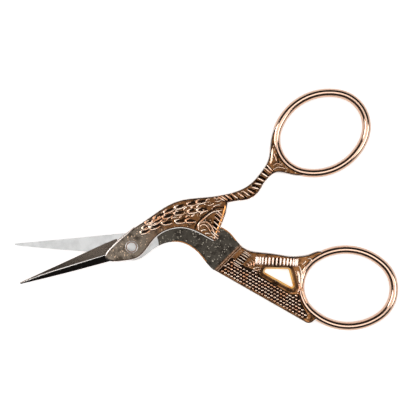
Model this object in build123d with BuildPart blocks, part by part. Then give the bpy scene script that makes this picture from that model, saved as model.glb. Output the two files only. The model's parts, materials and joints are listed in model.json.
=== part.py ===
from build123d import *
from math import atan2, ceil, cos, degrees, hypot, radians, sin
import os

# Stork embroidery scissors: two forged halves that cross at a screw through the bird's eye.
# The screw's axis is the Z axis, the back face lies on Z = 0 and the blades point along -X.
# Lengths are millimetres and angles are degrees.

# Driving sizes of the whole tool
blade_length = 28.4  # screw axis to blade tips
handle_reach = 52.0  # screw axis to the middle of the finger rings, measured along X when closed
crest_height = 7.0  # highest point of the bird's back above the screw axis
thickness = 2.6  # back face to front face
opening_angle = 19.25  # angle by which the front half stands open
ride_gap = 0.04  # running gap between the two halves
overrun = 0.5  # how far a cut runs past what it cuts

# Blades
heel_rise = 2.95  # blade's upper edge above the screw axis at the heel
heel_drop = 1.6  # blade's lower edge below the screw axis at the heel
spine_height = 1.0  # blade thickness along its ridge at the heel
edge_land = 0.12  # thickness left at the cutting edge
back_land_share = 0.5  # thickness of the blunt edge, of the ridge's

# Finger rings
ring_bore_length = 20.5
ring_bore_width = 16.3
ring_wire = 2.1  # width of the ring's wire
wire_sides = 12  # narrow flats round the wire
ring_meeting_height = 1.22  # height above the screw axis at which the closed rings meet
ring_stop_gap = 0.16  # gap left between the closed rings
root_overlap = 0.45  # how far the plates run into their ring's wire
front_ring_tilt = 10.3
back_ring_tilt = -4.0

# Half-lap: each half is half as thick from its head to its shoulder
ride_radius = 6.5  # ground round land that bears on the other half
lap_relief = 0.12  # how far the neck's inner face lies below that land
bevel = 0.4  # bevel along the outline of necks, leg and handle
wing_tip_radius = 0.7
handle_corner_radius = 1.6

# Screw
shank_radius = 1.1
shank_fit = 0.01  # clearance round the shank in the front half, which it is screwed into
shank_clearance = 0.03  # clearance round the shank in the back half, which turns on it
screw_head_radius = 1.9
screw_head_depth = 0.6
screw_head_sink = 0.05  # how far the head lies below the back face
screw_head_clearance = 0.04  # clearance round and under the head
screw_dome = 0.12  # how far the plain end stands above the bird's face
slot_width = 0.45
slot_depth = 0.3
eye_radius = 1.6  # shallow countersink round the plain end
eye_depth = 0.12

# Carved relief
groove_depth = 0.28
leg_groove_count = 12
leg_groove_width = 0.5
leg_groove_length = 1.9
leg_groove_leans = (-45, -100)  # first and last groove, from the leg's own direction
bar_groove_count = 14
bar_groove_width = 0.36
bar_groove_length = 1.7
bar_groove_lean = 86
shoulder_line_width = 0.2
shoulder_line_depth = 0.15
stroke_count = 7
stroke_width = 0.34
stroke_length = 2.1
stroke_lean = 101
wing_line_width = 0.35
wing_line_depth = 0.25
barb_count = 6
barb_width = 0.42
barb_length = 2.4
barb_lean = 66
feather_length = 2.3
feather_width = 0.62
feather_depth = 0.25
field_depth = 0.25  # how far the handle's pellet field is sunk
pellet_width = 0.5
pellet_pitch = 0.85
pellet_slope_share = 0.5  # how far a pellet's sides lean in, of its height
window_round = 0.35
window_draft = 22

# Heights worked out from the sizes above
middle = thickness / 2
back_inner = middle - ride_gap / 2
front_inner = middle + ride_gap / 2
far = 2 * handle_reach
wire_long_radius = (ring_bore_length + ring_wire) / 2
wire_short_radius = (ring_bore_width + ring_wire) / 2
plate_reach = handle_reach - wire_long_radius  # screw axis to the near end of the rings

# Outlines, as shares of plate_reach along X and of crest_height along Y, with the scissors closed
front_upper_shares = (
    (1.009, 2.243), (0.966, 1.800), (0.921, 1.321), (0.86, 1.029), (0.786, 0.786),
    (0.713, 0.693), (0.639, 0.700), (0.492, 0.850), (0.356, 1), (0.245, 0.929),
    (0.123, 0.721), (0, 0.521), (-0.049, 0.407), (-0.103, 0.250), (-0.152, 0.057),
    (-0.167, -0.071), (-0.147, -0.221), (-0.074, -0.371), (0.013, -0.421), (0.074, -0.264),
    (0.123, -0.064), (0.181, 0.100), (0.245, 0.150), (0.314, 0.079), (0.368, -0.100),
    (0.418, -0.371), (0.479, -0.750),
)
front_leg_shares = (
    (1.069, 0.507), (1.007, 0.700), (0.951, 0.850), (0.884, 0.729), (0.811, 0.407),
    (0.761, 0.293), (0.687, 0.343), (0.623, 0.393),
)
front_wing_shares = ((0.623, 0.393), (0.579, -0.014), (0.525, -0.393), (0.479, -0.750))
back_upper_shares = (
    (1.101, -0.050), (1.057, -0.150), (1.007, -0.214), (0.943, -0.236), (0.86, -0.171),
    (0.761, -0.114), (0.692, -0.050), (0.636, 0.164), (0.577, 0.550), (0.492, 0.800),
    (0.394, 0.914), (0.295, 0.929), (0.197, 0.821), (0.098, 0.643), (-0.024, 0.486),
    (-0.123, 0.421), (-0.157, 0.343), (-0.167, 0.129), (-0.152, -0.014), (-0.112, -0.186),
    (-0.059, -0.371), (0.008, -0.471), (0.061, -0.371), (0.106, -0.171), (0.147, 0.007),
    (0.197, 0.143), (0.256, 0.196), (0.295, 0.171), (0.344, 0.050), (0.394, -0.171),
    (0.442, -0.507), (0.484, -0.750),
)
window_shares = ((0.783, -0.786), (0.799, -0.693), (0.929, -0.693), (0.961, -1.343))
front_shoulder_shares = ((0.563, 0.800), (0.641, 0.329))
back_shoulder_shares = ((0.492, -0.729), (0.639, 0.150))
# Where the ends of the two plates meet their rings, as angles round the ring
front_root_angles = (236.7, 123.3)
back_root_angles = (241.5, 116.9)
# Lower corner of the handle, as shares of the back ring's wire radii, from the ring's middle
back_corner_shares = (-0.739, -1.044)

# Blade sections, from tip to head: place along the blade, upper edge, ridge, lower edge, ridge thickness
blade_shares = (
    (0.995, 0.13, 0.07, -0.02, 0.35),
    (0.77, 0.36, 0.15, -0.36, 0.62),
    (0.53, 0.61, 0.12, -0.68, 0.80),
    (0.21, 0.96, 0.05, -1.00, 1.00),
    (0.10, 1.02, 0.05, -1.20, 1.00),
)
# Lines along which the grooves are spread, and the handle's sunk field, as shares like the outlines
leg_groove_shares = ((0.6, 0.600), (0.767, 0.507), (0.843, 0.760), (0.914, 1.040))
bar_groove_shares = ((0.741, -0.400), (0.974, -0.450))
stroke_shares = ((0.683, -0.171), (0.619, -0.557))
barb_shares = ((0.555, 0.100), (0.520, -0.200), (0.488, -0.500))
wing_shares = ((0.600, 0.270), (0.516, 0.329), (0.455, 0.200), (0.405, 0.030), (0.388, -0.110))
shoulder_line_shares = ((0.500, -0.790), (0.651, 0.110))
# Rows of feathers on the neck, each with how many it has
feather_rows = (
    (6, ((0.155, 0.629), (0.302, 0.800), (0.480, 0.730))),
    (6, ((0.128, 0.500), (0.283, 0.620), (0.470, 0.450))),
    (5, ((0.108, 0.371), (0.233, 0.420), (0.385, 0.214))),
)
field_shares = (
    (0.517, -0.757), (0.594, -0.300), (0.673, -0.614), (0.737, -0.743), (0.769, -0.943),
    (0.939, -1.529), (0.99, -1.543), (1.007, -1.829), (1.046, -2.243), (1.037, -2.371),
    (1.014, -2.357),
)


def spots(shares):
    """Turns outline shares into places in millimetres."""
    return [(plate_reach * along, crest_height * up) for along, up in shares]


def front_plane(height):
    """The front half's own plane at a height, turned open by opening_angle."""
    turn = radians(opening_angle)
    return Plane(origin=(0, 0, height), x_dir=(cos(turn), sin(turn), 0), z_dir=(0, 0, 1))


def back_plane(height):
    """The back half's own plane at a height."""
    return Plane(origin=(0, 0, height), x_dir=(1, 0, 0), z_dir=(0, 0, 1))


# A ring's centre line is an oval of four arcs, two round its ends and two flatter ones along its sides
oval_diagonal = hypot(wire_long_radius, wire_short_radius)
oval_cut = (oval_diagonal - wire_long_radius + wire_short_radius) / 2
end_arc_radius = oval_cut * oval_diagonal / wire_long_radius
side_arc_radius = (oval_diagonal - oval_cut) * oval_diagonal / wire_short_radius
end_arc_offset = wire_long_radius - end_arc_radius
side_arc_offset = side_arc_radius - wire_short_radius
arc_join_angle = degrees(atan2(side_arc_offset, end_arc_offset))


def ring_side(tilt):
    """Half the height of a tilted ring over its wire."""
    return side_arc_radius + ring_wire / 2 - side_arc_offset * cos(radians(tilt))


front_ring_middle = (handle_reach, ring_meeting_height + ring_stop_gap / 2 + ring_side(front_ring_tilt))
back_ring_middle = (handle_reach, ring_meeting_height - ring_stop_gap / 2 - ring_side(back_ring_tilt))


def ring_spot(ring_middle, tilt, along, across):
    """A place that is given along a ring's own tilted axes."""
    lean = radians(tilt)
    return (
        ring_middle[0] + along * cos(lean) - across * sin(lean),
        ring_middle[1] + along * sin(lean) + across * cos(lean),
    )


back_corner = ring_spot(
    back_ring_middle,
    back_ring_tilt,
    wire_long_radius * back_corner_shares[0],
    wire_short_radius * back_corner_shares[1],
)


def ring_arcs(ring_middle, tilt):
    """The arcs of a ring's centre line, each with its middle, radius, first angle and span."""
    arcs = []
    for facing, side in ((0, 1), (180, -1)):
        end_middle = ring_spot(ring_middle, tilt, side * end_arc_offset, 0)
        side_middle = ring_spot(ring_middle, tilt, 0, -side * side_arc_offset)
        first_angle = tilt + facing
        arcs.append((end_middle, end_arc_radius, first_angle - arc_join_angle, 2 * arc_join_angle))
        arcs.append((side_middle, side_arc_radius, first_angle + arc_join_angle, 180 - 2 * arc_join_angle))
    return arcs


def root_point(ring_middle, tilt, angle):
    """Where a plate's edge meets a ring's centre line, on one of its side arcs."""
    along = side_arc_radius * cos(radians(angle))
    across = side_arc_radius * sin(radians(angle))
    offset = side_arc_offset if angle < 180 else -side_arc_offset
    return ring_spot(ring_middle, tilt, along, across - offset)


def wire_corners():
    """Corners of the ring's wire, round an oval as wide as the wire and as high as the tool is thick."""
    turns = [radians(step * 360 / wire_sides) for step in range(wire_sides)]
    return [(ring_wire / 2 * cos(turn), thickness / 2 * sin(turn)) for turn in turns]


def add_ring(plane, ring_middle, tilt):
    """Revolves the ring's wire about the middle of each arc of its centre line."""
    for arc_middle, radius, first_angle, span in ring_arcs(ring_middle, tilt):
        turn = radians(first_angle)
        outward = plane.x_dir * cos(turn) + plane.y_dir * sin(turn)
        arc_axis = Axis(plane.from_local_coords((*arc_middle, 0)), plane.z_dir)
        start = arc_axis.position + outward * radius
        with BuildSketch(Plane(origin=start, x_dir=outward, z_dir=plane.z_dir.cross(outward))) as wire:
            Polygon(wire_corners(), align=None)
        revolve(wire.sketch, axis=arc_axis, revolution_arc=span)


def add_blade(plane, upper_edge_cuts, outward):
    """Lofts a blade with a flat inner face and two bevels that meet along its ridge."""
    sections = []
    for along_share, upper_share, ridge_share, lower_share, height_share in blade_shares:
        ridge_height = spine_height * height_share
        blunt = ridge_height * back_land_share
        upper_height = edge_land if upper_edge_cuts else blunt
        lower_height = blunt if upper_edge_cuts else edge_land
        origin = plane.from_local_coords((-blade_length * along_share, 0, 0))
        across = Plane(origin=origin, x_dir=plane.y_dir, z_dir=plane.y_dir.cross(outward))
        with BuildSketch(across) as section:
            with BuildLine():
                Polyline(
                    (heel_drop * lower_share, 0),
                    (heel_rise * upper_share, 0),
                    (heel_rise * upper_share, upper_height),
                    (heel_rise * ridge_share, ridge_height),
                    (heel_drop * lower_share, lower_height),
                    close=True,
                )
            make_face()
        sections.append(section.sketch)
    loft(sections, ruled=True)


def front_outline():
    """The front half's head, neck, wing and leg as one flat face."""
    upper_root = root_point(front_ring_middle, front_ring_tilt, front_root_angles[1])
    lower_root = root_point(front_ring_middle, front_ring_tilt, front_root_angles[0])
    with BuildLine() as outline:
        Spline([upper_root] + spots(front_upper_shares))
        Spline(spots(front_wing_shares))
        Spline([lower_root] + spots(front_leg_shares))
        Line(upper_root, lower_root)
    make_face(outline.edges())
    fillet(vertices().sort_by_distance(spots(front_wing_shares)[-1])[0], wing_tip_radius)


def back_outline():
    """The back half's head, neck and handle as one flat face."""
    upper_root = root_point(back_ring_middle, back_ring_tilt, back_root_angles[1])
    lower_root = root_point(back_ring_middle, back_ring_tilt, back_root_angles[0])
    with BuildLine() as outline:
        Spline([upper_root] + spots(back_upper_shares))
        Polyline(spots(back_upper_shares)[-1], back_corner, lower_root, upper_root)
    make_face(outline.edges())
    fillet(vertices().sort_by_distance(back_corner)[0], handle_corner_radius)


def add_plate(outline):
    """Raises an outline to the full thickness and bevels it on both faces."""
    extrude(outline, amount=thickness)
    chamfer(faces().filter_by(Axis.Z).edges(), bevel)


def end_at_ring(plane, ring_middle, tilt):
    """Ends a plate a little way inside its ring's wire."""
    with BuildSketch(plane) as opening:
        with Locations(ring_spot(ring_middle, tilt, -end_arc_offset, 0)):
            Circle(end_arc_radius + ring_wire / 2 - root_overlap)
    extrude(opening.sketch, amount=thickness, mode=Mode.SUBTRACT)


def cut_lap(plane, shoulder_shares, depth, keep_radius):
    """Cuts the plate's inner side down from the shoulder to the head, but for a round land at the screw."""
    top, bottom = spots(shoulder_shares)
    lean = (top[0] - bottom[0]) / (top[1] - bottom[1])
    with BuildSketch(plane) as lap:
        Polygon(
            (top[0] + lean * (far - top[1]), far),
            (bottom[0] + lean * (-far - bottom[1]), -far),
            (-far, -far),
            (-far, far),
            align=None,
        )
        if keep_radius:
            Circle(keep_radius, mode=Mode.SUBTRACT)
    extrude(lap.sketch, amount=depth, mode=Mode.SUBTRACT)


def row_places(line_shares, count, leans):
    """Places spread along a curve, each with an angle that leans from the curve's direction."""
    row = Spline(spots(line_shares))
    places = []
    for step in range(count):
        along = step / (count - 1)
        lean = leans[0] + (leans[1] - leans[0]) * along**2
        places.append((row @ along, row.tangent_angle_at(along) + lean))
    return places


def cut_grooves(plane, line_shares, count, leans, length, width):
    """Cuts V-shaped grooves in a row along a curve, each leaning from the curve's direction."""
    groove_planes = []
    for place, angle in row_places(line_shares, count, leans):
        turn = radians(angle)
        groove_way = plane.x_dir * cos(turn) + plane.y_dir * sin(turn)
        spot = plane.from_local_coords(place)
        groove_planes.append(Plane(origin=spot, x_dir=plane.z_dir.cross(groove_way), z_dir=groove_way))
    mouth = width / 2 * (1 + overrun / groove_depth)
    with BuildSketch(*groove_planes) as section:
        Polygon((0, -groove_depth), (mouth, overrun), (-mouth, overrun), align=None)
    extrude(section.sketch, amount=length / 2, both=True, mode=Mode.SUBTRACT)


def cut_feathers(plane):
    """Cuts the rows of leaf-shaped feather hollows into the neck."""
    with BuildSketch(mode=Mode.PRIVATE) as feather:
        with BuildLine() as edge:
            ThreePointArc((-feather_length / 2, 0), (0, feather_width / 2), (feather_length / 2, 0))
            ThreePointArc((feather_length / 2, 0), (0, -feather_width / 2), (-feather_length / 2, 0))
        make_face(edge.edges())
    places = [place for count, line_shares in feather_rows for place in row_places(line_shares, count, (0, 0))]
    with BuildSketch(plane) as hollows:
        for place, angle in places:
            with Locations(Location(place, angle)):
                add(feather.sketch)
    extrude(hollows.sketch, amount=-feather_depth, mode=Mode.SUBTRACT)


def cut_line(plane, line_shares, width, depth):
    """Cuts a flat-bottomed line along a curve."""
    with BuildSketch(plane) as cut:
        with BuildLine() as line:
            Spline(spots(line_shares))
        trace(line.edges(), line_width=width)
    extrude(cut.sketch, amount=-depth, mode=Mode.SUBTRACT)


def pellet_locations(plane):
    """Staggered rows of places along the lower edge of the handle's field, wherever a pellet has room."""
    with BuildSketch(mode=Mode.PRIVATE) as room:
        Polygon(spots(field_shares), align=None)
        offset(amount=-pellet_width / 2, kind=Kind.INTERSECTION)
    first, last = Vector(spots(field_shares)[0]), Vector(spots(field_shares)[-1])
    row_way = (last - first).normalized()
    up_way = Vector(0, 0, 1).cross(row_way)
    row_gap = pellet_pitch * sin(radians(60))
    locations = []
    for row in range(ceil(crest_height / row_gap)):
        stagger = pellet_pitch / 2 * (row % 2)
        for step in range(ceil((last - first).length / pellet_pitch)):
            place = first + row_way * (stagger + step * pellet_pitch) + up_way * (row * row_gap + pellet_width / 2)
            if room.face().is_inside(place):
                locations.append(plane.location * Location(place, row_way.get_angle(Vector(-1, 0, 0))))
    return locations


def add_pellets(plane):
    """Sets tapered studs on the field's floor."""
    top_inset = field_depth * pellet_slope_share
    far_inset = pellet_width - top_inset
    with Locations(*pellet_locations(plane)):
        Wedge(
            pellet_width,
            field_depth,
            pellet_width,
            top_inset,
            top_inset,
            far_inset,
            far_inset,
            rotation=(90, 0, 0),
            align=(Align.CENTER, Align.MIN, Align.CENTER),
        )


# Front half: lower blade, head, neck, wing, ribbed leg and upper ring
with BuildPart() as front_half:
    with BuildSketch(front_plane(0)) as front_shape:
        front_outline()
    add_plate(front_shape.sketch)
    end_at_ring(front_plane(0), front_ring_middle, front_ring_tilt)
    cut_lap(front_plane(0), front_shoulder_shares, front_inner, 0)
    cut_lap(front_plane(front_inner), front_shoulder_shares, lap_relief, ride_radius)
    add_ring(front_plane(middle), front_ring_middle, front_ring_tilt)
    add_blade(front_plane(front_inner), True, Vector(0, 0, 1))
    cut_grooves(
        front_plane(thickness),
        leg_groove_shares,
        leg_groove_count,
        leg_groove_leans,
        leg_groove_length,
        leg_groove_width,
    )
    cut_grooves(
        front_plane(thickness),
        barb_shares,
        barb_count,
        (barb_lean, barb_lean),
        barb_length,
        barb_width,
    )
    cut_feathers(front_plane(thickness))
    cut_line(front_plane(thickness), wing_shares, wing_line_width, wing_line_depth)
    with Locations(front_plane(thickness)):
        CounterBoreHole(shank_radius + shank_fit, eye_radius, eye_depth, thickness)
front_half.part.label = "front_half"

# Back half: upper blade, smooth lapped neck, shoulder, handle with its window, and lower ring
with BuildPart() as back_half:
    with BuildSketch(back_plane(0)) as back_shape:
        back_outline()
    add_plate(back_shape.sketch)
    end_at_ring(back_plane(0), back_ring_middle, back_ring_tilt)
    cut_lap(back_plane(thickness), back_shoulder_shares, back_inner - thickness, 0)
    cut_lap(back_plane(back_inner), back_shoulder_shares, -lap_relief, ride_radius)
    add_ring(back_plane(middle), back_ring_middle, back_ring_tilt)
    add_blade(back_plane(back_inner), False, Vector(0, 0, -1))
    cut_grooves(
        back_plane(thickness),
        bar_groove_shares,
        bar_groove_count,
        (bar_groove_lean, bar_groove_lean),
        bar_groove_length,
        bar_groove_width,
    )
    cut_line(back_plane(thickness), shoulder_line_shares, shoulder_line_width, shoulder_line_depth)
    cut_grooves(
        back_plane(thickness),
        stroke_shares,
        stroke_count,
        (stroke_lean, stroke_lean),
        stroke_length,
        stroke_width,
    )
    with BuildSketch(back_plane(thickness)):
        Polygon(spots(field_shares), align=None)
    extrude(amount=-field_depth, mode=Mode.SUBTRACT)
    add_pellets(back_plane(thickness - field_depth))
    with BuildSketch(back_plane(middle)) as window:
        Polygon(spots(window_shares), align=None)
        fillet(window.vertices(), window_round)
    extrude(amount=middle + overrun, both=True, taper=-window_draft, mode=Mode.SUBTRACT)
    with Locations(Plane(origin=(0, 0, 0), z_dir=(0, 0, -1))):
        CounterBoreHole(
            shank_radius + shank_clearance,
            screw_head_radius + screw_head_clearance,
            screw_head_depth + screw_head_clearance,
            thickness,
        )
back_half.part.label = "back_half"

dome_radius = (shank_radius**2 + screw_dome**2) / (2 * screw_dome)

# Pivot screw: slotted head in the back half, plain domed end level with the bird's eye
with BuildPart() as pivot_screw:
    with BuildSketch(Plane.XZ):
        with BuildLine():
            Polyline(
                (0, screw_head_sink),
                (screw_head_radius, screw_head_sink),
                (screw_head_radius, screw_head_depth),
                (shank_radius, screw_head_depth),
                (shank_radius, thickness),
            )
            RadiusArc((shank_radius, thickness), (0, thickness + screw_dome), -dome_radius)
            Line((0, thickness + screw_dome), (0, screw_head_sink))
        make_face()
    revolve(axis=Axis.Z)
    with BuildSketch(Plane.XY):
        Rectangle(2 * screw_head_radius + overrun, slot_width)
    extrude(amount=screw_head_sink + slot_depth, mode=Mode.SUBTRACT)
pivot_screw.part.label = "pivot_screw"

os.makedirs("parts", exist_ok=True)
export_step(front_half.part, "parts/front_half.step")
export_step(back_half.part, "parts/back_half.step")
export_step(pivot_screw.part, "parts/pivot_screw.step")
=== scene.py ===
"""Stork embroidery scissors: plated halves, bare ground blades and a steel pivot screw."""

import json
import logging
import math
import random
from dataclasses import dataclass
from enum import Enum
from typing import Iterable, Sequence

import bmesh
import bpy
from mathutils import Matrix, Vector


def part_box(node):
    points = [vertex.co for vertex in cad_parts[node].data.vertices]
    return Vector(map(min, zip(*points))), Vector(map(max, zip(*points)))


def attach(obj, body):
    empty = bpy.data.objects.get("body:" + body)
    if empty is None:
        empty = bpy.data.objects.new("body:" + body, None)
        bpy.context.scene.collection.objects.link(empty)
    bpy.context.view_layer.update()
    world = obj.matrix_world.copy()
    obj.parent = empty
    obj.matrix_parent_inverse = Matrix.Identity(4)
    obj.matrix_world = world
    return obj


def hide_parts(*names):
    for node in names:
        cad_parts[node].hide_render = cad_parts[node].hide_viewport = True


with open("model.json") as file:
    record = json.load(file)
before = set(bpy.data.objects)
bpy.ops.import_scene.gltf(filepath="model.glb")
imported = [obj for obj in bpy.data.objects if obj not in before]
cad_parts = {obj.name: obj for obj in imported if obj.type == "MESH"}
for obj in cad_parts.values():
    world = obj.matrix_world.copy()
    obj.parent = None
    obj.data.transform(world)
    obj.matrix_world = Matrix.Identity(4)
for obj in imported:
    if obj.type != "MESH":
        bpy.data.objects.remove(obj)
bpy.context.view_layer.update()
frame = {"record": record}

LOG = logging.getLogger("scissors")
MM = 0.001
Colour = tuple[float, float, float]

# Steps between the points of a line that is drawn and of one that only finds places, in millimetres
LINE_STEP = 0.25
PLACE_STEP = 0.05

# Points closer than this, in millimetres, and faces that bend less than this are joined
MERGE_DISTANCE = 0.002
LEVEL_ANGLE = math.radians(0.3)

# Heights in millimetres and the angle at which the scissors stand open, read from the frame
PLATE_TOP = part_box("front_half")[1][2] / MM
REST_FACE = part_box("back_half")[0][2] / MM
OPENING = math.radians(-frame["record"]["behaviour"]["joints"][0]["range_deg"][0])


class Half(Enum):
    """The two halves, each named by its node and the body that it belongs to."""

    FRONT = ("front_half", "front")
    BACK = ("back_half", "back")

    @property
    def node(self) -> str:
        """Name of the half's node in the frame."""
        return self.value[0]

    @property
    def body(self) -> str:
        """Name of the body that the half moves with."""
        return self.value[1]

    @property
    def turn(self) -> float:
        """Angle by which the half stands open in the frame."""
        return OPENING if self is Half.FRONT else 0.0


class Signal:
    """A shader value that can be added, multiplied and compared in plain expressions."""

    def __init__(self, board: "Board", socket: bpy.types.NodeSocket | None) -> None:
        """Wraps an output socket.

        Args:
            board: The board that the socket's node belongs to.
            socket: The output socket, or None for a node that has none.
        """
        self.board = board
        self.socket = socket

    def _calculate(self, operation: str, *values: object, clamp: bool = False) -> "Signal":
        """Adds one Math node.

        Args:
            operation: The Math node's operation.
            values: The node's inputs in order, numbers or signals.
            clamp: Whether the result is held between 0 and 1.

        Returns:
            The node's result.
        """
        settings = {"operation": operation, "use_clamp": clamp}
        return self.board.make("ShaderNodeMath", settings, dict(enumerate(values)))

    def __add__(self, other: object) -> "Signal":
        """Adds."""
        return self._calculate("ADD", self, other)

    __radd__ = __add__

    def __mul__(self, other: object) -> "Signal":
        """Multiplies."""
        return self._calculate("MULTIPLY", self, other)

    __rmul__ = __mul__

    def __sub__(self, other: object) -> "Signal":
        """Takes away."""
        return self._calculate("SUBTRACT", self, other)

    def __rsub__(self, other: object) -> "Signal":
        """Takes away from."""
        return self._calculate("SUBTRACT", other, self)

    def __truediv__(self, other: object) -> "Signal":
        """Divides."""
        return self._calculate("DIVIDE", self, other)

    def __rtruediv__(self, other: object) -> "Signal":
        """Divides into."""
        return self._calculate("DIVIDE", other, self)

    def above(self, edge: float, soft: float) -> "Signal":
        """A mask that rises to 1 past an edge.

        Args:
            edge: Value at which the mask is a half.
            soft: Distance over which it rises.

        Returns:
            The mask.
        """
        return self._calculate("MULTIPLY_ADD", self, 1 / soft, 0.5 - edge / soft, clamp=True)

    def below(self, edge: float, soft: float) -> "Signal":
        """A mask that falls to 0 past an edge, the other way round from above."""
        return self._calculate("MULTIPLY_ADD", self, -1 / soft, 0.5 + edge / soft, clamp=True)


class Board:
    """One node tree, with a method that makes any node."""

    # Numbers of a Mix node's colour inputs and of its colour output
    MIX_INPUTS = (6, 7)
    MIX_OUTPUT = 2

    def __init__(self, tree: bpy.types.NodeTree) -> None:
        """Clears a tree and takes it over.

        Args:
            tree: The tree to build in.
        """
        self.tree = tree
        tree.nodes.clear()

    def make(
        self,
        kind: str,
        settings: dict | None = None,
        inputs: dict | None = None,
        out: int | str = 0,
    ) -> Signal:
        """Makes a node and joins it up.

        Args:
            kind: The node's type.
            settings: Its properties, set before its sockets; a ramp's stops are given as stops.
            inputs: Values or signals by socket index or name.
            out: Which output to hand back.

        Returns:
            The chosen output, or an empty signal from a node that has none.
        """
        node = self.tree.nodes.new(kind)
        for name, value in (settings or {}).items():
            if name == "stops":
                self._set_stops(node.color_ramp, value)
            else:
                setattr(node, name, value)
        for key, value in (inputs or {}).items():
            socket = node.inputs[key]
            if isinstance(value, Signal):
                self.tree.links.new(value.socket, socket)
            else:
                socket.default_value = value
        return Signal(self, node.outputs[out] if node.outputs else None)

    @staticmethod
    def _set_stops(ramp: bpy.types.ColorRamp, stops: Sequence[tuple[float, float]]) -> None:
        """Sets a ramp's stops.

        Args:
            ramp: The ramp.
            stops: Pairs of place and grey level.
        """
        while len(ramp.elements) < len(stops):
            ramp.elements.new(1.0)
        for element, (place, tone) in zip(ramp.elements, stops):
            element.position = place
            element.color = (tone, tone, tone, 1)

    def blend(self, factor: object, first: object, second: object) -> Signal:
        """Mixes two colours.

        Args:
            factor: Share of the second colour.
            first: First colour, a tuple or a signal.
            second: Second colour.

        Returns:
            The mixed colour.
        """
        inputs = {0: factor}
        for number, colour in zip(self.MIX_INPUTS, (first, second)):
            inputs[number] = (*colour, 1) if isinstance(colour, tuple) else colour
        return self.make("ShaderNodeMix", {"data_type": "RGBA"}, inputs, self.MIX_OUTPUT)

    def place(self, stretch: tuple[float, float, float] = (1.0, 1.0, 1.0)) -> Signal:
        """Object coordinates in millimetres.

        Args:
            stretch: Extra scale along each axis.

        Returns:
            The coordinates.
        """
        spot = self.make("ShaderNodeTexCoord", out="Object")
        scale = tuple(value / MM for value in stretch)
        return self.make("ShaderNodeVectorMath", {"operation": "MULTIPLY"}, {0: spot, 1: scale})

    def axes(self, vector: Signal) -> list[Signal]:
        """Splits a vector into its three numbers."""
        node = self.make("ShaderNodeSeparateXYZ", inputs={0: vector}).socket.node
        return [Signal(self, socket) for socket in node.outputs]

    def noise(self, vector: Signal, scale: float, detail: float, roughness: float = 0.55) -> Signal:
        """Cloudy noise between 0 and 1.

        Args:
            vector: Where it is read.
            scale: Clouds per unit.
            detail: Octaves.
            roughness: How strong the finer octaves are.

        Returns:
            The noise.
        """
        inputs = {"Vector": vector, "Scale": scale, "Detail": detail, "Roughness": roughness}
        return self.make("ShaderNodeTexNoise", {"noise_dimensions": "3D"}, inputs)


@dataclass(frozen=True)
class Wear:
    """How clouds, grain and flakes lie on every finish.

    Scales count per millimetre, and a pair is the edge of a mask and its softness. A dulling adds to the
    roughness, and a height is a share of the bump's distance, which is in millimetres.
    """

    cloud_scale: float = 0.55
    cloud_share: float = 0.65
    cloud_edge: tuple[float, float] = (0.52, 0.12)
    fine_scale: float = 7.0
    detail: float = 4.0
    flake_scale: float = 1.9
    flake_edge: tuple[float, float] = (0.27, 0.12)
    patch_scale: float = 0.9
    patch_detail: float = 2.0
    patch_edge: tuple[float, float] = (0.5, 0.1)
    # Upward share of the normal below which the painted shade of steep sides sets in
    flank_edge: tuple[float, float] = (0.62, 0.5)
    grain_detail: float = 5.0
    grain_strength: float = 0.7
    fine_dulling: float = 0.08
    grain_dulling: float = 0.12
    stain_dulling: float = 0.08
    grain_height: float = 0.8
    fine_height: float = 0.1
    bump_strength: float = 0.25
    bump_distance: float = 0.02


@dataclass(frozen=True)
class Beyond:
    """What a finish turns to further along the X axis.

    Attributes:
        place: Where it is halfway there, in millimetres.
        width: Length over which it turns, in millimetres.
        colour: Its clean colour there.
        shade: The colour of what has settled on it there.
    """

    place: float
    width: float
    colour: Colour
    shade: Colour


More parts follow.
